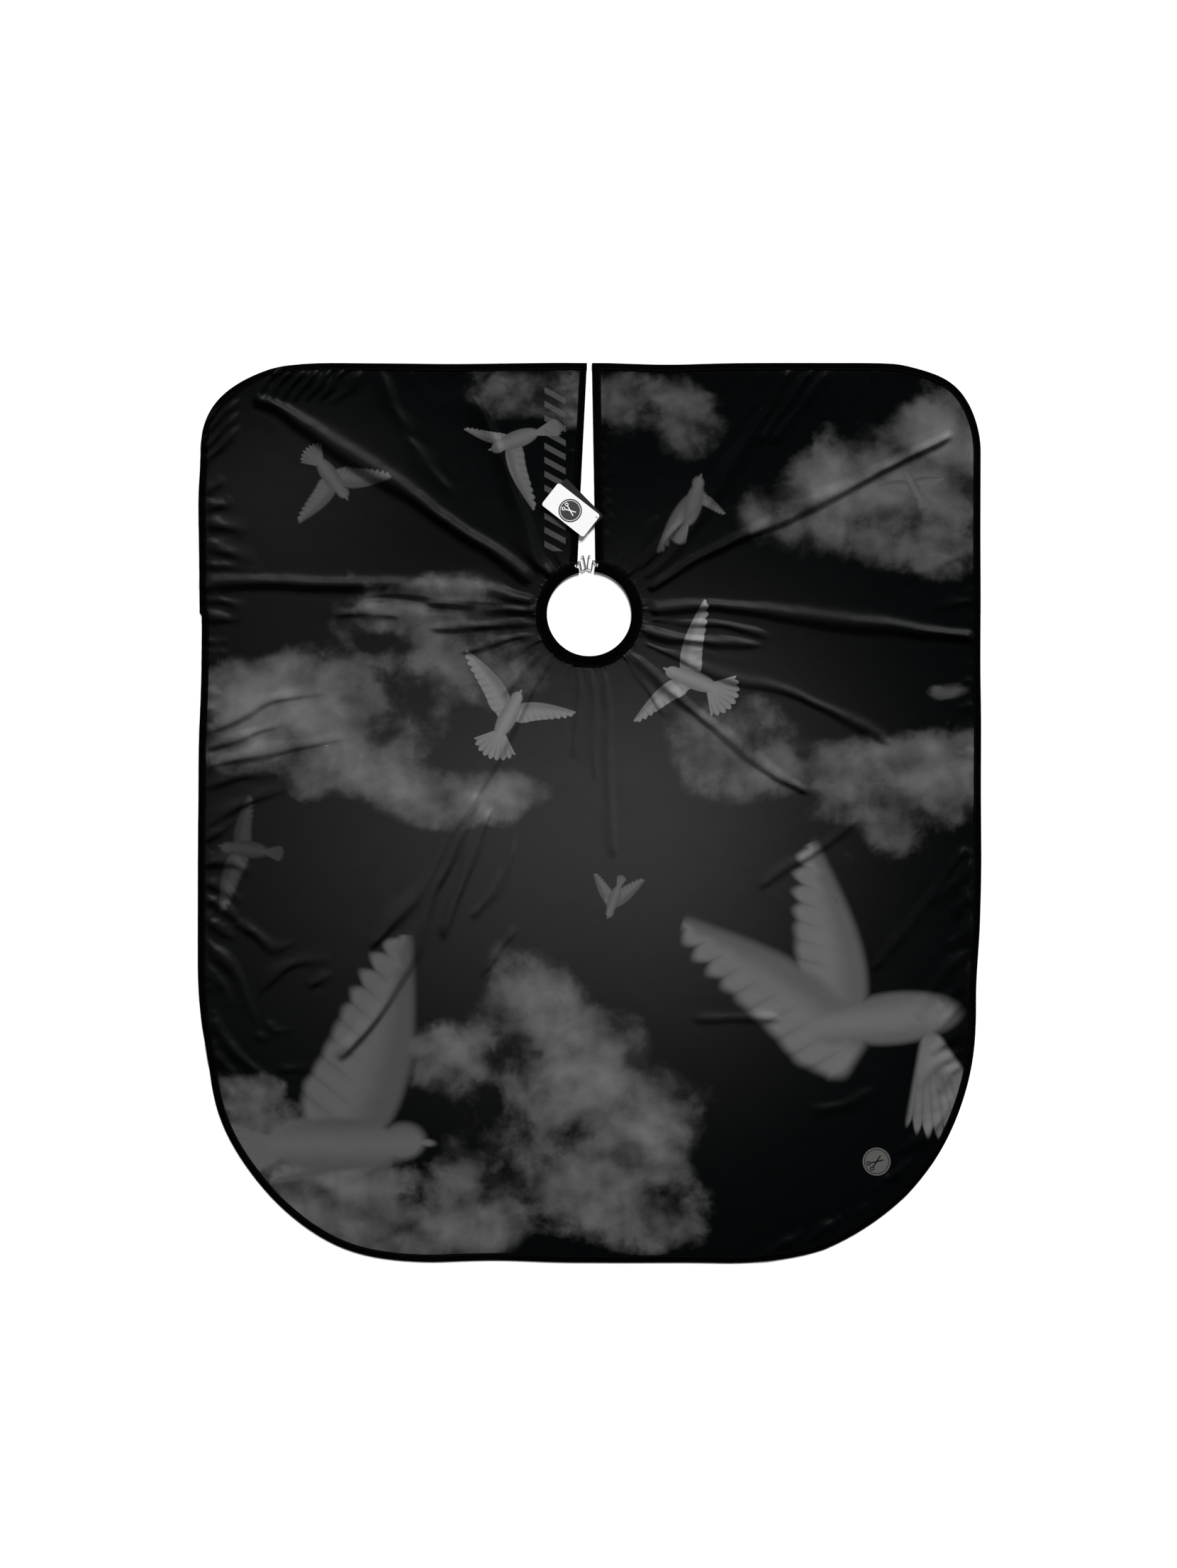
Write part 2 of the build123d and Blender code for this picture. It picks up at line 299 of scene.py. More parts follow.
CORNER_CREASES = [
    ([(-405, 440), (-424, 404), (-462, 372)], 9, 5, 0.4),
    ([(-378, 440), (-345, 368), (-318, 320)], 11, 4.5, 0.4), ([(-692, 214), (-648, 240)], 9, 5, -0.4),
    ([(-692, 184), (-632, 198)], 9, 5, -0.4), ([(-692, 160), (-606, 147)], 10, 6, -0.4),
    ([(-692, 124), (-640, 108), (-592, 92)], 10, 6, -0.4),
    ([(-692, 92), (-640, 84), (-580, 76)], 9, 4.5, -0.4), ([(-692, 28), (-650, 22), (-610, 8)], 9, 5, -0.4),
    ([(-692, -6), (-650, -10), (-612, -2)], 9, 5, -0.4), ([(692, 112), (630, 92), (558, 52)], 9, 2.5, 0.4),
    ([(692, 24), (606, 10)], 9, 2.5, 0.4), ([(30, 232), (40, 280), (48, 330)], 6, 3, 0.3),
    ([(28, 320), (36, 360), (40, 400)], 6, 3, 0.3),
]


def crease_row(start, end, count, reach, rise, seed):
    """A row of short parallel creases between two places, each running by about reach, a vector."""
    rng = random.Random(seed)
    rows = []
    for k in range(count):
        t = (k + rng.uniform(-0.3, 0.3)) / max(count - 1, 1)
        x = start[0] + (end[0] - start[0]) * t
        y = start[1] + (end[1] - start[1]) * t
        grow = rng.uniform(0.5, 1.3)
        bow = rng.uniform(-0.15, 0.15)
        dx, dy = reach[0] * grow, reach[1] * grow
        middle = (x + dx / 2 - dy * bow, y + dy / 2 + dx * bow)
        lean = -0.3 if dx < 0 else 0.3
        width = rng.uniform(5.5, 8) * (1 + math.hypot(*reach) / 500)
        rows.append(([(x, y), middle, (x + dx, y + dy)], width, rise * rng.uniform(0.5, 1.2), lean))
    return rows


EDGE_CREASES = (
    crease_row((-696, 190), (-696, -200), 15, (44, -6), 4, 1)
    + crease_row((-694, -230), (-692, -560), 14, (34, 12), 3, 2)
    + crease_row((-690, -640), (-666, -850), 8, (36, -38), 3.5, 3)
    + crease_row((694, 240), (694, -330), 15, (-34, -8), 2.2, 4)
    + crease_row((698, -400), (668, -800), 14, (-84, -108), 7, 5)
    + crease_row((660, -850), (566, -990), 7, (-72, -62), 8, 6)
    + crease_row((590, -1010), (260, -1156), 11, (-100, -76), 7, 7)
    + crease_row((-330, 444), (-60, 444), 9, (-16, -34), 1.6, 8)
    + crease_row((60, 444), (560, 444), 15, (-18, -36), 1.6, 9)
    + crease_row((19, 130), (12, 420), 12, (18, 16), 2.5, 10)
    + crease_row((-34, 130), (-20, 420), 10, (-16, 14), 2.0, 11)
)


# Straight ridges an even step apart across the back left corner
CORNER_STEP = 24
CORNER_RIDGES = [([(k - 540, 452), (k - 573, 416), (k - 602, 376)], 6.5, 8, 0.1)
                 for k in range(0, 6 * CORNER_STEP, CORNER_STEP)]
CORNER_RIDGES += [([(-704, k + 256), (-664, k + 294), (-620, k + 336)], 6.5, 8, 0.1)
                  for k in range(0, 4 * CORNER_STEP, CORNER_STEP)]
END_FADE = 36 * MM  # a ridge that starts inside the cloth fades in and out over this length


def add_fold(height, x, y, fold, from_edge):
    """Adds a ridge, steep on one side with a shallow dip beyond it; one from an edge dies out inward."""
    points, width, rise, lean = fold
    line = smooth_line(np.array(points) * MM)
    width, rise = width * MM, rise * MM
    reach = 5 * width
    near = np.flatnonzero(
        (x > line[:, 0].min() - reach) & (x < line[:, 0].max() + reach)
        & (y > line[:, 1].min() - reach) & (y < line[:, 1].max() + reach)
    )
    if not len(near):
        return
    px, py = x[near], y[near]
    best = np.full(len(near), 1e9)
    side = np.zeros(len(near))
    along = np.zeros(len(near))
    for k in range(len(line) - 1):
        a, d = line[k], line[k + 1] - line[k]
        length2 = float(d @ d)
        t = np.clip(((px - a[0]) * d[0] + (py - a[1]) * d[1]) / length2, 0, 1)
        rx, ry = px - a[0] - t * d[0], py - a[1] - t * d[1]
        distance = np.hypot(rx, ry)
        closer = distance < best
        best[closer] = distance[closer]
        side[closer] = np.sign(d[0] * ry - d[1] * rx)[closer]
        along[closer] = (k + t[closer]) / (len(line) - 1)
    if from_edge:
        fade = smoothstep(-0.04, 0.34, along) * (1 - along) ** 0.75 * 1.35
    else:
        ends = min(0.45, END_FADE / line_length(line))
        fade = smoothstep(0, ends, along) * smoothstep(1, 1 - ends, along)
    vary = 1 + 0.25 * np.sin(along * 11 + points[0][0])
    spread = width * (0.75 + 0.5 * along * (1 - along) * 2) * vary
    signed = side * best / spread
    steep = np.where(signed * np.sign(lean) > 0, 1 + abs(lean), 1 - 0.6 * abs(lean))
    ridge = np.exp(-((signed * steep) ** 2))
    dip = -0.22 * np.exp(-((signed * np.sign(lean) - 1.9) ** 2) / 0.5)
    height[near] += rise * fade * (ridge + dip)


# Fine, middle and broad gathers: pitch in degrees, seed, reach from the neckband and height in mm
GATHERS = [(2.0, 31, 9, 3.4), (5.2, 32, 34, 5.0), (10.5, 33, 95, 7.0)]


def neck_gathers(x, y):
    """Puckers round the gathered neckband: fine ones die out first, broad ones run on as folds."""
    r = np.hypot(x, y)
    turn = (np.degrees(np.arctan2(y, x)) - BAND_END_DEG["left"]) % 360
    away = np.clip(r - BAND_R, 0, None)
    fine, middle, broad = (
        ripple(turn, pitch, seed) * np.exp(-away / (reach * MM)) * height * MM
        for pitch, seed, reach, height in GATHERS
    )
    calm = 1 - 0.65 * smoothstep(0.72, 0.95, -y / np.maximum(r, MM))
    fine = np.abs(fine) * smoothstep(BAND_R - 2 * MM, BAND_R + 1.5 * MM, r)
    return fine + (middle + broad) * calm * smoothstep(BAND_R - 3 * MM, BAND_R + 7 * MM, r)


def edge_distance(x, y):
    """About how far inside the cape's outline a point is."""
    d = np.minimum(np.minimum(x - LEFT, RIGHT - x), np.minimum(y - FRONT, BACK - y))
    for cx, cy, radius in (
        (LEFT + BACK_CORNER_R, BACK - BACK_CORNER_R, BACK_CORNER_R),
        (RIGHT - BACK_CORNER_R, BACK - BACK_CORNER_R, BACK_CORNER_R),
        (RIGHT - RIGHT_HEM_R, FRONT + RIGHT_HEM_R, RIGHT_HEM_R),
        (LEFT + LEFT_HEM_R, FRONT + LEFT_HEM_R, LEFT_HEM_R),
    ):
        outside = (np.sign(cx) * (x - cx) > 0) & (np.sign(cy - (BACK + FRONT) / 2) * (y - cy) > 0)
        d = np.where(outside, np.minimum(d, radius - np.hypot(x - cx, y - cy)), d)
    return d


def slit_distance(x, y):
    """How far a point is from the slit, for points behind the neck."""
    left = slit_x("left", y) - x
    right = x - slit_x("right", y)
    return np.where(y > 0, np.maximum(left, right), 1.0)


def cloth_height(x, y):
    """Height of the cloth's middle above the table."""
    x, y = np.asarray(x, float), np.asarray(y, float)
    warp_x = x + 5 * MM * layered_noise(x, y, 90 * MM, 41)
    warp_y = y + 5 * MM * layered_noise(x, y, 90 * MM, 51)
    folds = np.zeros_like(x)
    for fold in LONG_FOLDS + CORNER_RIDGES:
        add_fold(folds, warp_x, warp_y, fold, from_edge=False)
    for fold in LEFT_CREASES + CORNER_CREASES + EDGE_CREASES:
        add_fold(folds, warp_x, warp_y, fold, from_edge=True)
    edge = np.minimum(edge_distance(x, y), slit_distance(x, y))
    r = np.hypot(x, y)
    folds *= smoothstep(BAND_R - 2 * MM, BAND_R + 10 * MM, r)
    folds *= 0.16 + 0.84 * smoothstep(4 * MM, 26 * MM, edge)
    soft = 1.6 * MM * layered_noise(x, y, 150 * MM, 61) + 0.5 * MM * layered_noise(x, y, 34 * MM, 71)
    soft *= smoothstep(0, 60 * MM, edge) * smoothstep(BAND_R, BAND_R + 40 * MM, r)
    total = folds + soft + neck_gathers(x, y) * smoothstep(0, 12 * MM, slit_distance(x, y))
    lifted = np.where(total > 0, total, 0.35 * total * np.exp(total / (3 * MM)))
    blend = smoothstep(CARD_REACH, CARD_REACH + 30 * MM, np.hypot(x - PIN[0], y - PIN[1]))
    room = UNDER_CARDS * (1 - blend) + HIGHEST_FOLD * blend - CLOTH_Z
    return CLOTH_Z + np.where(lifted > 0, room * np.tanh(lifted / room), lifted)


# ---------------------------------------------------------------- the print, in mm from the neck's centre

# Each cloud: centre, half-sizes, turn in degrees, and strength, which is negative for a gap
CLOUDS = [
    ((550, 245), (250, 84), 27, 0.9), ((650, 345), (110, 90), 0, 0.85), ((470, 300), (130, 60), 20, 0.6),
    ((540, 180), (190, 80), 0, 0.72), ((600, 110), (140, 60), 0, 0.64), ((360, 205), (100, 55), 25, 0.7),
    ((139, 365), (115, 70), 0, 0.75), ((200, 300), (60, 45), 0, 0.6), ((60, 410), (50, 40), 0, 0.7),
    ((-110, 395), (110, 55), 0, 0.85), ((-20, 370), (45, 50), 0, 0.7), ((-330, 5), (110, 62), -10, 0.75),
    ((-230, 40), (80, 45), -20, 0.65), ((-215, -50), (90, 62), 0, 0.75), ((-160, -110), (85, 62), 0, 0.8),
    ((-400, -10), (70, 45), 0, 0.5), ((-360, -110), (120, 80), 0, 0.7), ((-330, -190), (100, 60), 0, 0.6),
    ((-470, -80), (80, 50), 0, 0.6), ((-620, -180), (90, 90), 0, 1.0), ((-590, -130), (120, 70), 0, 1.05),
    ((-480, -175), (110, 70), -20, 1.0), ((-600, -235), (110, 50), 12, 0.9),
    ((-410, -255), (105, 55), 0, 1.0), ((-270, -320), (120, 50), -4, 1.05),
    ((-150, -318), (110, 42), -6, 1.0), ((-210, -360), (90, 32), 0, 0.8), ((-480, -300), (60, 40), 0, 0.6),
    ((190, -225), (80, 55), 0, 0.85), ((290, -190), (90, 45), -10, 0.75), ((260, -285), (95, 55), 0, 0.8),
    ((400, -270), (110, 50), 8, 0.75), ((560, -270), (130, 70), 14, 0.95), ((640, -300), (90, 90), 0, 0.95),
    ((500, -350), (110, 55), -18, 0.85), ((560, -420), (80, 40), -25, 0.6),
    ((624, -132), (42, 17), 0, 0.95), ((-110, -640), (90, 52), -30, 0.75),
    ((-60, -720), (130, 80), -20, 0.85), ((-170, -730), (90, 55), 0, 0.6),
    ((30, -800), (110, 80), -30, 0.9), ((-300, -790), (95, 75), 0, 0.7), ((60, -900), (110, 85), 0, 0.85),
    ((140, -880), (70, 90), 0, 0.6), ((-40, -1010), (130, 95), 0, 0.8), ((80, -1040), (110, 90), 0, 0.75),
    ((-220, -950), (140, 75), 15, 0.75), ((-330, -1050), (150, 85), 0, 0.85),
    ((-190, -1090), (120, 60), 0, 0.6), ((-560, -930), (110, 80), -20, 1.0),
    ((-450, -1000), (110, 90), -30, 0.85), ((-620, -880), (70, 60), 0, 0.9),
    ((170, -1000), (70, 100), 10, 0.6), ((-150, -850), (120, 90), 0, 0.55), ((-60, -880), (90, 70), 0, 0.5),
    ((-215, -880), (75, 42), -15, -0.42), ((-310, -905), (50, 50), 0, -0.6),
    ((-150, -1075), (70, 75), 20, -0.45), ((-500, -1060), (120, 80), -35, 0.9),
    ((-270, -1110), (150, 60), 0, 0.75), ((60, -1110), (120, 50), 0, 0.7),
    ((-120, -770), (50, 26), -30, -0.3), ((95, -965), (34, 30), 0, -0.25),
    ((-20, -930), (60, 26), -40, -0.25), ((-325, -185), (80, 55), 30, -0.45),
    ((-150, -238), (95, 26), 0, -0.7), ((-400, -60), (90, 20), 5, -0.35),
]


def cloud_cover(x, y):
    """How thick the clouds are, from 0 in clear sky to about 1."""
    drift_x = x + 22 * MM * layered_noise(x, y, 120 * MM, 101)
    drift_y = y + 22 * MM * layered_noise(x, y, 120 * MM, 111)
    clear = np.ones_like(x)
    for (cx, cy), (rx, ry), turn, strength in CLOUDS:
        c, s = math.cos(math.radians(turn)), math.sin(math.radians(turn))
        dx, dy = drift_x - cx * MM, drift_y - cy * MM
        u, v = (c * dx + s * dy) / (rx * MM), (-s * dx + c * dy) / (ry * MM)
        patch = smoothstep(1.6, 0.25, np.hypot(u, v))
        if strength > 0:
            clear *= 1 - 0.82 * min(strength, 1.1) * patch
        else:
            clear -= (1 - clear) * strength * patch
    return 1 - clear


def lobe(x, y, centre, left, right, down, up):
    """A soft patch with a different reach on each side, in millimetres."""
    dx, dy = x / MM - centre[0], y / MM - centre[1]
    return np.exp(-((dx / np.where(dx < 0, left, right)) ** 2) - (dy / np.where(dy < 0, down, up)) ** 2)


def sky_glow(x, y):
    """The clear sky of the print: brightest in front of the neck, faint at the top left, black elsewhere."""
    main = lobe(x, y, (85, -330), 560, 315, 385, 290)
    side = lobe(x, y, (-560, 230), 200, 240, 260, 140)
    return main + 0.24 * side


# ---------------------------------------------------------------- node helpers

class Nodes:
    """Adds nodes to a tree in few words."""

    def __init__(self, tree):
        self.tree = tree

    def add(self, kind, **settings):
        node = self.tree.nodes.new(kind)
        for name, value in settings.items():
            setattr(node, name, value)
        return node

    def feed(self, socket, value):
        if isinstance(value, bpy.types.NodeSocket):
            self.tree.links.new(value, socket)
        else:
            socket.default_value = value

    def math(self, operation, *values):
        node = self.add("ShaderNodeMath", operation=operation)
        for socket, value in zip(node.inputs, values):
            self.feed(socket, value)
        return node.outputs[0]

    def times(self, a, b):
        return self.math("MULTIPLY", a, b)

    def scaled(self, value, factor, offset):
        return self.math("MULTIPLY_ADD", value, factor, offset)

    def minus(self, a, b):
        return self.math("SUBTRACT", a, b)

    def rest(self, value):
        return self.math("SUBTRACT", 1.0, value)

    def most(self, a, b):
        return self.math("MAXIMUM", a, b)

    def size(self, value):
        return self.math("ABSOLUTE", value)

    def vector(self, operation, *values):
        node = self.add("ShaderNodeVectorMath", operation=operation)
        for socket, value in zip(node.inputs, values):
            self.feed(socket, value)
        return node.outputs["Value" if operation == "LENGTH" else "Vector"]

    def turn(self, vector, angle):
        node = self.add("ShaderNodeVectorRotate", rotation_type="Z_AXIS")
        self.feed(node.inputs["Vector"], vector)
        self.feed(node.inputs["Angle"], angle)
        return node.outputs[0]

    def remap(self, value, low, high, to_low=0.0, to_high=1.0):
        node = self.add("ShaderNodeMapRange", interpolation_type="SMOOTHSTEP")
        names = ("Value", "From Min", "From Max", "To Min", "To Max")
        for name, v in zip(names, (value, low, high, to_low, to_high)):
            self.feed(node.inputs[name], v)
        return node.outputs[0]

    def mix(self, factor, a, b):
        node = self.add("ShaderNodeMix", data_type="RGBA")
        self.feed(node.inputs[0], factor)
        self.feed(node.inputs[6], a)
        self.feed(node.inputs[7], b)
        return node.outputs[2]

    def blend(self, factor, a, b):
        node = self.add("ShaderNodeMix", data_type="FLOAT")
        for socket, value in zip((node.inputs[0], node.inputs[2], node.inputs[3]), (factor, a, b)):
            self.feed(socket, value)
        return node.outputs[0]

    def noise(self, vector, scale, detail=4.0, roughness=0.5):
        node = self.add("ShaderNodeTexNoise")
        self.feed(node.inputs["Vector"], vector)
        for name, value in (("Scale", scale), ("Detail", detail), ("Roughness", roughness)):
            self.feed(node.inputs[name], value)
        return node.outputs["Fac"]

    def bump(self, height, distance, strength=1.0, under=None):
        node = self.add("ShaderNodeBump")
        self.feed(node.inputs["Height"], height)
        node.inputs["Distance"].default_value = distance
        node.inputs["Strength"].default_value = strength
        if under is not None:
            self.feed(node.inputs["Normal"], under)
        return node.outputs[0]

    def combine(self, x, y, z=0.0):
        node = self.add("ShaderNodeCombineXYZ")
        for socket, value in zip(node.inputs, (x, y, z)):
            self.feed(socket, value)
        return node.outputs[0]

    def grey(self, tone):
        return self.combine(tone, tone, tone)

    def split(self, vector):
        node = self.add("ShaderNodeSeparateXYZ")
        self.feed(node.inputs[0], vector)
        return node.outputs

    def place(self):
        return self.add("ShaderNodeTexCoord").outputs["Object"]


def new_material(name):
    material = bpy.data.materials.new(name)
    material.use_nodes = True
    shader = material.node_tree.nodes["Principled BSDF"]
    return material, Nodes(material.node_tree), shader


def fix(shader, values):
    """Sets values that are the same all over the surface on the shader's own sockets."""
    for name, value in values.items():
        shader.inputs[name].default_value = value


def give(obj, material):
    obj.data.materials.clear()
    obj.data.materials.append(material)


def group_tree(name, inputs, outputs):
    tree = bpy.data.node_groups.new(name, "ShaderNodeTree")
    for label, kind in inputs:
        tree.interface.new_socket(label, in_out="INPUT", socket_type=kind)
    for label in outputs:
        tree.interface.new_socket(label, in_out="OUTPUT", socket_type="NodeSocketFloat")
    n = Nodes(tree)
    return tree, n, n.add("NodeGroupInput").outputs, n.add("NodeGroupOutput").inputs


def feather_edge(n, position, count):
    """From 0 between two feathers to 1 along a feather's middle."""
    return n.size(n.math("COSINE", n.times(position, count * math.pi)))


def from_root(n, source):
    """The point seen from the part's root, with the part's own direction along +X."""
    return n.turn(n.vector("SUBTRACT", source["Point"], source["Root"]), n.times(source["Lead"], -1.0))


def soft_step(n, value, soft):
    return n.remap(value, n.times(soft, -1.0), soft)


def wing_group():
    """A spread wing one unit long: a bowed front edge, and feathers slanting to a scalloped back edge."""
    inputs = [("Point", "NodeSocketVector"), ("Root", "NodeSocketVector")]
    inputs += [(label, "NodeSocketFloat") for label in ("Lead", "Flip", "Reach", "Chord", "Soft")]
    tree, n, source, out = group_tree("spread_wing", inputs, ["Mask", "Tone"])
    local = from_root(n, source)
    x, y, _ = n.split(local)
    u = n.math("DIVIDE", x, source["Reach"])
    v = n.math("DIVIDE", n.times(y, source["Flip"]), source["Reach"])
    inside = n.math("MINIMUM", n.most(u, 0.0), 1.0)
    bow = n.times(n.math("SINE", n.times(n.math("POWER", inside, 0.7), math.pi)), -0.10)
    behind = n.minus(v, bow)
    feather = feather_edge(n, n.scaled(v, -0.55, u), 9.0)
    notch = n.remap(u, 0.5, 0.95, 0.02, 0.34)
    taper = n.times(n.math("POWER", n.rest(inside), 0.46),
                   n.remap(u, -0.12, 0.22, 0.55, 1.0))
    scallop = n.rest(n.times(notch, n.rest(feather)))
    chord = n.times(n.times(source["Chord"], taper), scallop)
    mask = n.times(soft_step(n, behind, source["Soft"]),
                  soft_step(n, n.minus(chord, behind), source["Soft"]))
    mask = n.times(mask, n.times(soft_step(n, n.math("ADD", u, 0.06), source["Soft"]),
                                           soft_step(n, n.rest(u), source["Soft"])))
    back = n.math("DIVIDE", behind, n.most(chord, 0.01))
    seams = n.times(n.rest(n.math("POWER", feather, 0.25)), n.remap(back, 0.3, 1.0))
    shade = n.scaled(n.remap(back, 0.15, 0.55), 0.3, 0.62)
    n.feed(out["Mask"], mask)
    n.feed(out["Tone"], n.minus(shade, n.times(seams, 0.42)))
    return tree


def tail_group():
    """A fan of tail feathers one unit long, opening along +X."""
    inputs = [("Point", "NodeSocketVector"), ("Root", "NodeSocketVector")]
    inputs += [(label, "NodeSocketFloat") for label in ("Lead", "Spread", "Reach", "Soft")]
    tree, n, source, out = group_tree("tail_fan", inputs, ["Mask", "Tone"])
    local = from_root(n, source)
    x, y, _ = n.split(local)
    away = n.math("DIVIDE", n.vector("LENGTH", local), source["Reach"])
    angle = n.math("DIVIDE", n.math("ARCTAN2", y, x), source["Spread"])
    feather = feather_edge(n, angle, 8.0)
    length = n.minus(n.scaled(feather, 0.1, 0.9), n.times(n.math("POWER", n.size(angle), 2.0), 0.4))
    sides = n.times(n.minus(0.5, n.size(angle)), away)
    mask = n.times(soft_step(n, n.minus(length, away), source["Soft"]),
                  soft_step(n, sides, source["Soft"]))
    seams = n.times(n.rest(n.math("POWER", feather, 0.4)), n.remap(away, 0.3, 0.9))
    n.feed(out["Mask"], mask)
    n.feed(out["Tone"], n.minus(0.86, n.times(seams, 0.4)))
    return tree


def oval(n, point, centre, size, angle, soft):
    local = n.turn(n.vector("SUBTRACT", point, centre), -angle)
    away = n.vector("LENGTH", n.vector("DIVIDE", local, (*size, 1.0)))
    return n.remap(away, n.rest(soft), n.math("ADD", 1.0, soft), 1.0, 0.0)


def call_group(n, tree, point, root, soft, **values):
    node = n.add("ShaderNodeGroup", node_tree=tree)
    for label, value in dict(values, Point=point, Root=root, Soft=soft).items():
        n.feed(node.inputs[label], value)
    return node.outputs["Mask"], node.outputs["Tone"]


def bird_group():
    """A plain bird in flight, one unit long, heading along +X, with two wings and a tail of feathers."""
    inputs = [(label, "NodeSocketVector") for label in ("Point", "Wing_A", "Wing_B", "Tail")]
    inputs += [("Flip_B", "NodeSocketFloat"), ("Soft", "NodeSocketFloat")]
    tree, n, source, out = group_tree("flying_bird", inputs, ["Mask", "Tone"])
    point, soft = source["Point"], source["Soft"]
    lead_a, reach_a, chord_a = n.split(source["Wing_A"])
    lead_b, reach_b, chord_b = n.split(source["Wing_B"])
    tail_turn, tail_spread, tail_reach = n.split(source["Tail"])
    wing, tail = wing_group(), tail_group()
    body = oval(n, point, (0.0, 0.0, 0.0), (0.30, 0.12), 0.0, n.scaled(soft, 4.0, 0.04))
    head = oval(n, point, (0.29, 0.015, 0.0), (0.10, 0.08), 0.15, n.scaled(soft, 7.0, 0.06))
    beak = oval(n, point, (0.395, 0.01, 0.0), (0.04, 0.016), -0.1, n.scaled(soft, 12.0, 0.2))
    parts = [
        call_group(n, tail, point, (-0.15, 0.0, 0.0), soft, Reach=tail_reach, Spread=tail_spread,
                   Lead=n.math("ADD", tail_turn, math.pi)),
        call_group(n, wing, point, (0.17, 0.0, 0.0), soft, Lead=lead_b, Flip=source["Flip_B"], Reach=reach_b,
                   Chord=chord_b),
        call_group(n, wing, point, (0.17, 0.03, 0.0), soft, Lead=lead_a, Flip=1.0, Reach=reach_a,
                   Chord=chord_a),
    ]
    mask, tone = n.most(n.most(body, head), beak), 0.9
    for part_mask, part_tone in parts:
        tone = n.blend(part_mask, tone, part_tone)
        mask = n.most(mask, part_mask)
    _, side, _ = n.split(point)
    belly = n.remap(n.size(side), 0.0, 0.12, 0.92, 0.6)
    tone = n.blend(n.most(body, head), tone, belly)
    n.feed(out["Mask"], mask)
    n.feed(out["Tone"], tone)
    return tree


# Each bird: place and length in mm, and heading; each wing's angle from the heading, reach and depth, left
# wing first; tail's turn, spread and reach; softness, brightness, and the side the other wing's feathers lie
# on. Angles are in degrees, other sizes in bird lengths. No two birds overlap.
BIRDS = [
    ((-462, 246), 122, -55, (62, 0.78, 0.44), (-80, 0.78, 0.42), (8, 70, 0.4), 0.03, 0.075, -1),
    ((-128, 312), 128, 200, (92, 0.98, 0.30), (-38, 0.62, 0.30), (-4, 34, 0.5), 0.014, 0.105, -1),
    ((186, 196), 128, 74, (164, 1.0, 0.26), (-110, 0.5, 0.36), (-10, 34, 0.46), 0.03, 0.08, -1),
    ((579, 226), 76, 118, (70, 0.8, 0.42), (-112, 0.8, 0.4), (5, 50, 0.4), 0.05, 0.09, -1),
    ((-146, -186), 130, 62, (66, 0.98, 0.36), (-66, 0.86, 0.36), (6, 96, 0.46), 0.01, 0.16, -1),
    ((188, -118), 138, 158, (64, 0.84, 0.34), (-84, 1.02, 0.32), (-10, 96, 0.46), 0.01, 0.165, -1),
    ((44, -510), 84, 250, (150, 0.9, 0.42), (-132, 0.8, 0.4), (0, 34, 0.4), 0.03, 0.1, -1),
    ((-610, -420), 120, 172, (84, 0.95, 0.34), (-96, 0.8, 0.36), (0, 40, 0.4), 0.05, 0.035, -1),
    ((-450, -948), 400, 0, (80, 0.92, 0.52), (-160, 0.5, 0.36), (8, 46, 0.5), 0.03, 0.085, -1),
    ((545, -722), 370, 186, (-38, 1.0, 0.42), (-82, 0.9, 0.44), (-84, 44, 0.6), 0.035, 0.115, 1),
]
BIRD_REACH = 1.13


def add_birds(n, point, colour):
    """Draws every bird with one group: each place on the cloth takes the figures of the bird it is near."""
    place = frame_a = wing_a = wing_b = tail = looks = (0.0, 0.0, 0.0)
    for (x, y), length, heading, left, right, fan, soft, bright, flip in BIRDS:
        away = n.vector("LENGTH", n.vector("SUBTRACT", point, (x * MM, y * MM, 0.0)))
        near = n.math("LESS_THAN", away, length * BIRD_REACH * MM)
        place = n.vector("MULTIPLY_ADD", (x * MM, y * MM, 0.0), near, place)
        frame_a = n.vector("MULTIPLY_ADD", (-math.radians(heading), length * MM, flip), near, frame_a)
        wing_a = n.vector("MULTIPLY_ADD", (math.radians(left[0]), left[1], left[2]), near, wing_a)
        wing_b = n.vector("MULTIPLY_ADD", (math.radians(right[0]), right[1], right[2]), near, wing_b)
        tail = n.vector("MULTIPLY_ADD", (math.radians(fan[0]), math.radians(fan[1]), fan[2]), near, tail)
        looks = n.vector("MULTIPLY_ADD", (soft, bright, 1.0), near, looks)
    turn, length, flip = n.split(frame_a)
    soft, bright, near = n.split(looks)
    local = n.turn(n.vector("SUBTRACT", point, place), turn)
    local = n.vector("DIVIDE", local, n.most(length, MM))
    node = n.add("ShaderNodeGroup", node_tree=bird_group())
    for label, value in (("Point", local), ("Wing_A", wing_a), ("Wing_B", wing_b), ("Tail", tail),
                         ("Flip_B", flip), ("Soft", n.most(soft, 0.001))):
        n.feed(node.inputs[label], value)
    shade = n.times(node.outputs["Tone"], bright)
    return n.mix(n.times(node.outputs["Mask"], near), colour, n.grey(shade))


# The print's badge near the hem, and the column of slanted bars beside the slit
BADGE = ((513 * MM, -978 * MM), math.radians(35), 25 * MM)
BARS = {"x": -61 * MM, "half_width": 19 * MM, "low": 112 * MM, "high": 404 * MM, "pitch": 25 * MM}


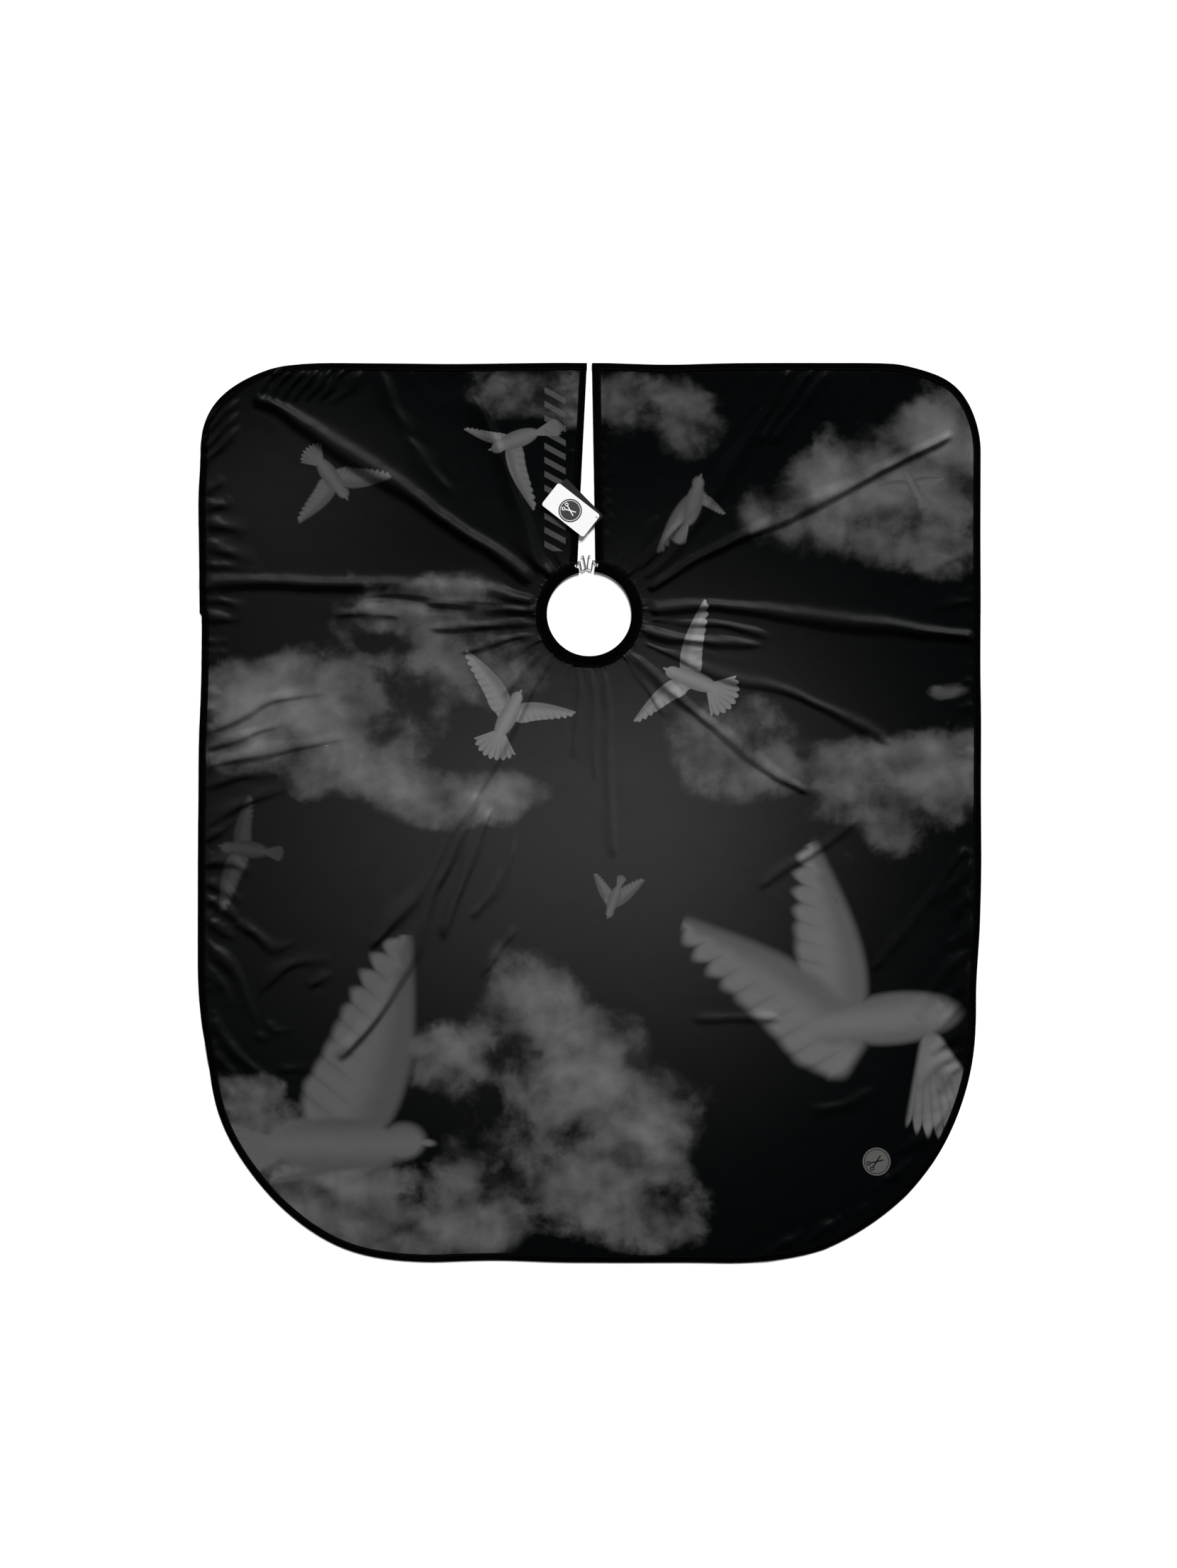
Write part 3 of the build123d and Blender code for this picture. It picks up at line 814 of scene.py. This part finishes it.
def slanted_bars(n, point):
    x, y, _ = n.split(point)
    inside = n.remap(n.size(n.minus(x, BARS["x"])), BARS["half_width"] - 0.4 * MM,
                     BARS["half_width"] + 0.4 * MM, 1.0, 0.0)
    middle, reach = (BARS["low"] + BARS["high"]) / 2, (BARS["high"] - BARS["low"]) / 2
    rows = n.remap(n.size(n.minus(y, middle)), reach - 0.4 * MM, reach + 0.4 * MM, 1.0, 0.0)
    climb = n.times(n.scaled(x, 0.55, y), 2 * math.pi / BARS["pitch"])
    bars = n.remap(n.math("SINE", climb), 0.1, 0.3)
    return n.times(n.times(inside, rows), bars)


SKY_LIGHT, CLOUD_LIGHT = 0.027, 0.094
BAR_COVER, BADGE_COVER = 0.6, 0.9
BAR_TONE, BADGE_TONE = (0.075, 0.075, 0.075, 1), (0.085, 0.085, 0.082, 1)
DARK_TINT, LIT_TINT = (0.0003, 0.0006, 0.0008, 1), (0.0012, 0.0012, 0.0012, 1)
BILLOW_SHIFT = (0.012, 0.022, 0.0)  # from which side the print's clouds are lit
THREAD_PITCH = 0.55 * MM


def printed_cloth():
    material, n, shader = new_material("printed_cloth")
    place = n.add("ShaderNodeUVMap", uv_map="flat").outputs[0]
    cover = n.add("ShaderNodeAttribute", attribute_name="cloud").outputs["Fac"]
    glow = n.add("ShaderNodeAttribute", attribute_name="glow").outputs["Fac"]
    drift = n.add("ShaderNodeTexNoise")
    n.feed(drift.inputs["Vector"], place)
    drift.inputs["Scale"].default_value = 7.0
    centred = n.vector("SUBTRACT", drift.outputs["Color"], (0.5, 0.5, 0.5))
    sway = n.vector("MULTIPLY", centred, (0.05, 0.05, 0.0))
    spot = n.vector("ADD", place, sway)
    puffs = n.noise(spot, 8.0, 12.0, 0.62)
    billow = n.noise(spot, 6.0, 3.0, 0.5)
    shifted = n.noise(n.vector("ADD", spot, BILLOW_SHIFT), 6.0, 3.0, 0.5)
    relief = n.times(n.minus(billow, shifted), 2.6)
    banks = n.noise(n.vector("ADD", spot, (3.1, 1.7, 0.0)), 5.0, 3.0, 0.5)
    rough = n.scaled(puffs, 1.7, n.scaled(banks, 0.8, -1.2))
    level = n.math("ADD", cover, rough)
    body = n.remap(level, 0.38, 0.74)
    core = n.scaled(n.remap(level, 0.45, 1.35), 0.72, 0.28)
    shading = n.most(n.math("ADD", core, relief), 0.12)
    tint = n.mix(n.remap(glow, 0.0, 0.3), DARK_TINT, LIT_TINT)
    clear = n.times(glow, SKY_LIGHT)
    lit = n.times(n.times(body, shading), CLOUD_LIGHT)
    value = n.math("ADD", clear, lit)
    colour = add_birds(n, place, n.vector("ADD", tint, n.grey(value)))
    centre, turn, radius = BADGE
    disc, light = scissors_mark(n, place, centre, turn, radius)
    ink = n.times(disc, n.rest(light))
    colour = n.mix(n.times(ink, BADGE_COVER), colour, BADGE_TONE)
    colour = n.mix(n.times(slanted_bars(n, place), BAR_COVER), colour, BAR_TONE)
    n.feed(shader.inputs["Base Color"], colour)
    x, y, _ = n.split(place)
    warp = n.math("SINE", n.times(x, 1 / THREAD_PITCH * 2 * math.pi))
    weft = n.math("SINE", n.times(y, 1 / THREAD_PITCH * 2 * math.pi))
    weave = n.times(warp, weft)
    crumple = n.noise(place, 60.0, 4.0, 0.55)
    fine = n.bump(weave, 0.03 * MM, 0.5)
    n.feed(shader.inputs["Normal"], n.bump(crumple, 1.0 * MM, 0.35, under=fine))
    n.feed(shader.inputs["Roughness"], n.scaled(crumple, 0.10, 0.36))
    fix(shader, {"Specular IOR Level": 0.04, "Sheen Weight": 0.004, "Sheen Roughness": 0.4})
    return material


def woven_tape(name, shade, rib_mm):
    material, n, shader = new_material(name)
    place = n.place()
    worn = n.noise(place, 70.0, 5.0)
    tone = n.scaled(worn, shade * 0.8, shade * 0.6)
    n.feed(shader.inputs["Base Color"], n.grey(tone))
    x, y, _ = n.split(place)
    ribs = [n.math("SINE", n.times(v, 2 * math.pi / (rib_mm * MM))) for v in (x, y)]
    fine = n.bump(n.times(*ribs), 0.06 * MM, 0.7)
    n.feed(shader.inputs["Normal"], n.bump(n.noise(place, 180.0, 3.0), 0.5 * MM, 0.4, under=fine))
    n.feed(shader.inputs["Roughness"], n.scaled(worn, 0.2, 0.66))
    fix(shader, {"Specular IOR Level": 0.008, "Sheen Weight": 0.001})
    return material


def thread_material():
    material, n, shader = new_material("black_thread")
    fibres = n.noise(n.place(), 2500.0, 3.0)
    tone = n.scaled(fibres, 0.003, 0.0012)
    n.feed(shader.inputs["Base Color"], n.grey(tone))
    n.feed(shader.inputs["Normal"], n.bump(fibres, 0.05 * MM, 0.6))
    fix(shader, {"Roughness": 0.55, "Specular IOR Level": 0.1})
    return material


def wire_material():
    material, n, shader = new_material("hook_wire")
    wear = n.noise(n.place(), 700.0, 5.0, 0.6)
    dull, bright = (0.035, 0.035, 0.036, 1), (0.14, 0.137, 0.133, 1)
    n.feed(shader.inputs["Base Color"], n.mix(n.remap(wear, 0.35, 0.7), dull, bright))
    n.feed(shader.inputs["Roughness"], n.scaled(wear, 0.25, 0.2))
    n.feed(shader.inputs["Normal"], n.bump(wear, 0.04 * MM, 0.4))
    fix(shader, {"Metallic": 1.0})
    return material


def card_base(name, shade, gloss):
    material, n, shader = new_material(name)
    fibres = n.noise(n.place(), 900.0, 4.0, 0.6)
    n.feed(shader.inputs["Normal"], n.bump(fibres, 0.03 * MM, 0.5))
    n.feed(shader.inputs["Roughness"], n.scaled(fibres, 0.15, gloss))
    tone = n.scaled(fibres, shade * 0.06, shade * 0.97)
    return material, n, shader, tone


CARD_CENTRE = (-34 * MM, 184 * MM)
CARD_TURN = math.radians(-38.1)
MARK_R = 21 * MM


def scissors_mark(n, point, centre, turn, radius):
    """A round mark: returns its disc, and the plain ring and crossed scissors on it."""
    flat = n.vector("MULTIPLY", n.turn(n.vector("SUBTRACT", point, (*centre, 0.0)), -turn), (1.0, 1.0, 0.0))
    flat = n.vector("DIVIDE", flat, (radius, radius, 1.0))
    away = n.vector("LENGTH", flat)
    disc = n.remap(away, 0.985, 1.015, 1.0, 0.0)
    light = n.remap(n.size(n.minus(away, 0.86)), 0.015, 0.03, 1.0, 0.0)
    for sign in (1, -1):
        blade = n.turn(flat, sign * math.radians(22))
        x, y, _ = n.split(blade)
        bar = n.times(n.remap(n.size(y), 0.035, 0.05, 1.0, 0.0),
                     n.remap(n.size(x), 0.50, 0.52, 1.0, 0.0))
        loop_away = n.vector("LENGTH", n.vector("SUBTRACT", blade, (-0.60, 0.0, 0.0)))
        loop = n.remap(n.size(n.minus(loop_away, 0.12)), 0.028, 0.042, 1.0, 0.0)
        light = n.most(light, n.most(bar, loop))
    return disc, light


def white_card_material():
    """White card with a dark round mark."""
    material, n, shader, paper = card_base("white_card", 0.78, 0.6)
    disc, light = scissors_mark(n, n.place(), CARD_CENTRE, CARD_TURN, MARK_R)
    tone = n.blend(n.times(disc, n.rest(light)), paper, 0.024)
    n.feed(shader.inputs["Base Color"], n.grey(tone))
    return material


def black_card_material():
    material, n, shader, paper = card_base("black_card", 0.006, 0.35)
    n.feed(shader.inputs["Base Color"], n.grey(paper))
    return material


def nylon_material():
    material, n, shader = new_material("pin_nylon")
    cloudy = n.noise(n.place(), 400.0, 3.0)
    tone = n.scaled(cloudy, 0.08, 0.78)
    n.feed(shader.inputs["Base Color"], n.grey(tone))
    n.feed(shader.inputs["Roughness"], n.scaled(cloudy, 0.2, 0.3))
    return material


# ---------------------------------------------------------------- cloth pieces

PANEL_COLUMNS, PANEL_ROWS = ((1664, 236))
ROW_CROWDING = 1.2  # rows lie closer together near the neck
PANEL_TRIANGLES = 196000


def make_panel():
    """The cape's cloth: a grid from the neckband out to the edge, split at the slit."""
    inner = neck_arc(CLOTH_R, PANEL_COLUMNS)
    outer = outline(CLOTH_INSET, PANEL_COLUMNS)
    share = (np.linspace(0, 1, PANEL_ROWS) ** ROW_CROWDING)[:, None, None]
    flat = inner * (1 - share) + outer * share
    x, y = flat[..., 0].ravel(), flat[..., 1].ravel()
    z = cloth_height(x, y)
    faces = grid_faces(PANEL_ROWS, PANEL_COLUMNS)
    panel = mesh_object("printed_panel", np.stack([x, y, z], 1), faces)
    thin_out(panel, PANEL_TRIANGLES)
    mesh = panel.data
    at = np.empty(3 * len(mesh.vertices))
    mesh.vertices.foreach_get("co", at)
    x, y = at[0::3], at[1::3]
    corners = np.empty(len(mesh.loops), int)
    mesh.loops.foreach_get("vertex_index", corners)
    uv = mesh.uv_layers.new(name="flat")
    uv.data.foreach_set("uv", np.stack([x[corners], y[corners]], 1).ravel())
    for name, values in (("cloud", cloud_cover(x, y)), ("glow", sky_glow(x, y))):
        mesh.attributes.new(name, "FLOAT", "POINT").data.foreach_set("value", values)
    return panel


def thin_out(obj, triangles):
    """Leaves the mesh dense at its folds and open where it lies flat."""
    if 2 * len(obj.data.polygons) <= triangles:
        return
    decimate = obj.modifiers.new("thin", "DECIMATE")
    decimate.ratio = triangles / (2 * len(obj.data.polygons))
    evaluated = obj.evaluated_get(bpy.context.evaluated_depsgraph_get())
    thinned = bpy.data.meshes.new_from_object(evaluated)
    obj.modifiers.clear()
    obj.data = thinned
    thinned.polygons.foreach_set("use_smooth", [True] * len(thinned.polygons))


# Section of a folded tape: share of its width in from the fold, height share from underside to top
TAPE_SECTION = [
    (1.0, 0.78), (0.95, 0.96), (0.8, 0.9), (0.5, 1.0), (0.18, 0.98), (0.05, 0.84), (0.0, 0.5),
    (0.05, 0.16), (0.3, 0.0), (1.0, 0.0),
]


def make_tape(name, edge, inward, width, seed):
    """Tape folded round an edge: edge is the fold's line, and inward points into the cloth."""
    along = np.concatenate([[0], np.cumsum(np.hypot(*np.diff(edge, axis=0).T))])
    rings = []
    for share, level in TAPE_SECTION:
        wander = 0.25 * MM * ripple(along, 24 * MM, seed) * share
        flat = edge + inward * (share * width + wander)[:, None]
        inside = edge + inward * width * 0.85
        lift = cloth_height(inside[:, 0], inside[:, 1]) - CLOTH_Z
        pucker = 0.22 * MM * ripple(along, 4.6 * MM, seed + 1) * (1 - abs(2 * share - 1)) * level
        z = np.clip(lift, 0, None) * (0.25 + 0.75 * share) + TAPE_H * level + pucker
        rings.append(np.stack([flat[:, 0], flat[:, 1], z], 1))
    verts = np.stack(rings, 1).reshape(-1, 3)
    count, ring = len(edge), len(TAPE_SECTION)
    faces = grid_faces(count, ring, wrap_columns=True)
    faces += [list(range(ring))[::-1], [(count - 1) * ring + k for k in range(ring)]]
    return mesh_object(name, verts, faces)


def normals_inward(edge):
    """Unit normals on the right of the line's direction."""
    step = np.gradient(edge, axis=0)
    step /= np.hypot(*step.T)[:, None]
    return np.stack([step[:, 1], -step[:, 0]], 1)


def slit_line(side, spacing):
    """The slit edge from the neckband to the inner side of the edge tape."""
    angle = math.radians(BAND_END_DEG[side])
    low, high = BAND_R * math.sin(angle) + 0.5 * MM, BACK - EDGE_TAPE_W
    y = np.linspace(low, high, int((high - low) / spacing))
    return np.stack([np.array([slit_x(side, v) for v in y]), y], 1)


EDGE_LENGTH = 5.45  # about the length of the whole edge, in metres
EDGE_STEP = 2.5 * MM
SLIT_STEP = 2 * MM


def make_edge_tape():
    edge = outline(0, int(EDGE_LENGTH / EDGE_STEP))
    return make_tape("edge_tape", edge, normals_inward(edge), EDGE_TAPE_W, 81)


def make_slit_tape(side):
    edge = slit_line(side, SLIT_STEP)
    inward = np.array([[SIDE[side], 0.0]]) + np.zeros_like(edge)
    return make_tape(f"{side}_slit_tape", edge, inward, SLIT_TAPE_W[side], 85 + SIDE[side])


BAND_COLUMNS = 620
BAND_SECTION = 26
HOOK_NOTCH = 6.2 * MM  # length of band end that is cut back for the hook's arm
NOTCH_OUTER = 84.6 * MM


def make_band():
    """The gathered tube of tape round the neck, cut back at its ends where the hooks swing."""
    start, end = BAND_END_DEG["right"], BAND_END_DEG["left"] - 360
    angle = np.radians(np.linspace(start, end, BAND_COLUMNS))
    arc = np.minimum(np.radians(start) - angle, angle - np.radians(end)) * BAND_R
    outer = np.where(arc < HOOK_NOTCH, NOTCH_OUTER, BAND_R)
    round_off = np.sqrt(np.clip(1 - (1 - np.clip(arc / (1.8 * MM), 0, 1)) ** 2, 0.05, 1))
    turn = np.degrees(angle) % 360
    verts = []
    for k in range(BAND_SECTION):
        phase = 2 * math.pi * k / BAND_SECTION
        c, s = math.cos(phase), math.sin(phase)
        across = math.copysign(abs(c) ** 0.35, c)
        up = math.copysign(abs(s) ** 0.6, s)
        radius = (NECK_R + outer) / 2 + across * (outer - NECK_R) / 2
        share = (radius - NECK_R) / BAND_W
        gather = 0.28 * MM * ripple(turn, 2.1, 91) + 0.22 * MM * ripple(turn, 5.3, 92)
        seam = 0.55 * MM * np.exp(-(((radius - (BAND_R - 2.5 * MM)) / (0.8 * MM)) ** 2))
        top = BAND_H * 0.5 + up * round_off * BAND_H * 0.44
        if up > 0:
            top = top + (gather * (1 - abs(2 * share - 1) ** 3) - seam) * up
        z = np.clip(top, 0.1 * MM, None)
        verts.append(np.stack([radius * np.cos(angle), radius * np.sin(angle), z], 1))
    verts = np.stack(verts, 1).reshape(-1, 3)
    faces = grid_faces(BAND_COLUMNS, BAND_SECTION, wrap_columns=True)
    last = (BAND_COLUMNS - 1) * BAND_SECTION
    faces += [list(range(BAND_SECTION))[::-1], [last + k for k in range(BAND_SECTION)]]
    return mesh_object("neckband", verts, faces)


def stitch_row(name, line, height, pitch, length, width=0.7 * MM, rise=0.35 * MM):
    """Separate stitches along a line: each a short thread that dives into the cloth at both ends."""
    count = int(line_length(line) / pitch)
    centres = resample(line, 4 * count + 1)
    verts, faces = [], []
    shares = np.array([-1.0, -0.72, 0.0, 0.72, 1.0])
    bulge = np.array([0.35, 0.9, 1.0, 0.9, 0.35])
    sides = 6
    for k in range(count):
        c = centres[4 * k + 2]
        d = centres[4 * k + 3] - centres[4 * k + 1]
        d = d / np.hypot(*d)
        across = np.array([-d[1], d[0]])
        base = len(verts)
        for share, fat in zip(shares, bulge):
            p = c + d * share * length / 2
            z = height[4 * k + 2] + rise * (fat - 0.75)
            for m in range(sides):
                a = 2 * math.pi * m / sides
                q = p + across * math.cos(a) * width / 2 * fat
                verts.append((q[0], q[1], z + math.sin(a) * width / 2 * fat * 0.7))
        rings = len(shares)
        for f in grid_faces(rings, sides, wrap_columns=True):
            faces.append([base + v for v in f])
        faces.append([base + m for m in range(sides)][::-1])
        faces.append([base + (rings - 1) * sides + m for m in range(sides)])
    return mesh_object(name, verts, faces)


def line_height(line, pitch, top):
    """Height of the tape's top under each stitch of a row."""
    at = resample(line, 4 * int(line_length(line) / pitch) + 1)
    return np.clip(cloth_height(at[:, 0], at[:, 1]) - CLOTH_Z, 0, None) * 0.9 + top


STITCH_INSET = 2.5 * MM
STITCH_PITCH = 4.4 * MM
STITCH_LENGTH = 3.2 * MM
BAND_STITCH_PITCH = 3.3 * MM
BAND_STITCH_LENGTH = 2.5 * MM
BARTACK_TURNS = 9


def make_edge_stitches():
    line = outline(EDGE_TAPE_W - STITCH_INSET, 2600)
    height = line_height(line, STITCH_PITCH, TAPE_H * 0.92)
    return stitch_row("edge_stitches", line, height, STITCH_PITCH, STITCH_LENGTH)


def make_slit_stitches(side):
    line = slit_line(side, SLIT_STEP)[4:]
    line = line + np.array([SIDE[side] * (SLIT_TAPE_W[side] - STITCH_INSET), 0.0])
    height = line_height(line, STITCH_PITCH, TAPE_H * 0.92)
    return stitch_row(f"{side}_slit_stitches", line, height, STITCH_PITCH, STITCH_LENGTH)


def make_band_stitches():
    line = neck_arc(BAND_R - 2.5 * MM, 900, trim_deg=8.0)
    height = np.full(4 * int(line_length(line) / BAND_STITCH_PITCH) + 1, BAND_H * 0.8)
    return stitch_row("band_stitches", line, height, BAND_STITCH_PITCH, BAND_STITCH_LENGTH)


def make_bartack(side):
    """Dense zigzag stitching where the slit tape meets the neckband."""
    low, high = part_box(f"{side}_bartack")
    x = np.linspace(low.x, high.x, BARTACK_TURNS)
    y = np.where(np.arange(BARTACK_TURNS) % 2, low.y, high.y)
    line = np.stack([x, y], 1)
    total = line_length(line)
    pitch = total / (BARTACK_TURNS - 1) * 0.999
    height = np.full(4 * int(total / pitch) + 1, TAPE_H * 1.02)
    return stitch_row(f"{side}_bartack_stitches", line, height, pitch, pitch * 0.9, 0.55 * MM, 0.2 * MM)


panel = make_panel()
edge_tape = make_edge_tape()
slit_tapes = {side: make_slit_tape(side) for side in SIDE}
band = make_band()
edge_stitches = make_edge_stitches()
slit_stitches = {side: make_slit_stitches(side) for side in SIDE}
band_stitches = make_band_stitches()
bartacks = {side: make_bartack(side) for side in SIDE}

cloth, tape = printed_cloth(), woven_tape("edge_tape", 0.0005, 0.8)
band_cloth, thread = woven_tape("band_tape", 0.0005, 0.7), thread_material()
elastic, wire = woven_tape("elastic_core", 0.03, 1.1), wire_material()
give(panel, cloth)
for piece in (edge_tape, *slit_tapes.values()):
    give(piece, tape)
give(band, band_cloth)
for piece in (edge_stitches, *slit_stitches.values(), band_stitches, *bartacks.values()):
    give(piece, thread)
for side in SIDE:
    give(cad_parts[f"{side}_hook"], wire)
give(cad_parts["neckband_elastic"], elastic)
give(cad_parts["white_hang_tag"], white_card_material())
give(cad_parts["black_hang_tag"], black_card_material())
give(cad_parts["tag_pin"], nylon_material())

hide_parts("cape_panel")
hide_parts("outer_binding")
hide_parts("neckband_casing")
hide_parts("outer_binding_stitching")
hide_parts("neckband_stitching")
for side in SIDE:
    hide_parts(f"{side}_slit_binding")
    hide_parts(f"{side}_slit_stitching")
    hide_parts(f"{side}_bartack")

cut = outline(CLOTH_INSET, 1200)


# ---------------------------------------------------------------- stage

def sun_light(name, source, angle, strength):
    """A broad soft light from one side of the studio; source points towards it."""
    light = bpy.data.lights.new(name, "SUN")
    light.angle, light.energy = math.radians(angle), strength
    obj = bpy.data.objects.new(name, light)
    obj.rotation_euler = Vector(source).to_track_quat("Z", "Y").to_euler()
    bpy.context.scene.collection.objects.link(obj)


FLOOR_REACH = 12.0
FLOOR_GAP = 0.2 * MM
WORLD_LIGHT = 0.09
# Each sun: where it stands as seen from the cape, its width in degrees, and its strength
SUNS = {
    "key": ((0.22, 0.84, 0.50), 24, 6.5),
    "west_fill": ((-0.85, 0.15, 0.5), 50, 0.24),
    "east_fill": ((0.85, -0.05, 0.5), 50, 0.24),
}


def make_stage():
    floor_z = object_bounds()[0].z - FLOOR_GAP
    mesh = bpy.data.meshes.new("floor")
    corners = [(-1, -1), (1, -1), (1, 1), (-1, 1)]
    mesh.from_pydata([(x * FLOOR_REACH, y * FLOOR_REACH, floor_z) for x, y in corners], [], [(0, 1, 2, 3)])
    floor = bpy.data.objects.new("floor", mesh)
    bpy.context.scene.collection.objects.link(floor)
    material, n, shader = new_material("floor_paper")
    grain = n.noise(n.place(), 30.0, 4.0)
    tone = n.scaled(grain, 0.02, 0.94)
    n.feed(shader.inputs["Base Color"], n.grey(tone))
    fix(shader, {"Roughness": 0.9, "Specular IOR Level": 0.1})
    give(floor, material)
    floor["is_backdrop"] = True
    world = bpy.data.worlds.new("studio")
    bpy.context.scene.world = world
    world.use_nodes = True
    background = world.node_tree.nodes["Background"]
    background.inputs["Color"].default_value = (1, 1, 1, 1)
    background.inputs["Strength"].default_value = WORLD_LIGHT
    for name, sun in SUNS.items():
        sun_light(name, *sun)
    bpy.context.scene.view_settings.view_transform = "Standard"


LENS, SENSOR_WIDTH = 85, 36
VIEW_HEIGHT = 2.8
VIEW_CENTRE = (-1.3 * MM, -303.8 * MM)


def make_camera():
    """Straight above, a little in front of the neck, with the whole cape in view."""
    data = bpy.data.cameras.new("camera")
    data.lens, data.sensor_width = LENS, SENSOR_WIDTH
    distance = VIEW_HEIGHT / 2 / (data.sensor_width / 2 / data.lens)
    camera = bpy.data.objects.new("camera", data)
    camera.location = (*VIEW_CENTRE, distance)
    bpy.context.scene.collection.objects.link(camera)
    bpy.context.scene.camera = camera


make_stage()
make_camera()

final = [list(corner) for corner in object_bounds()]
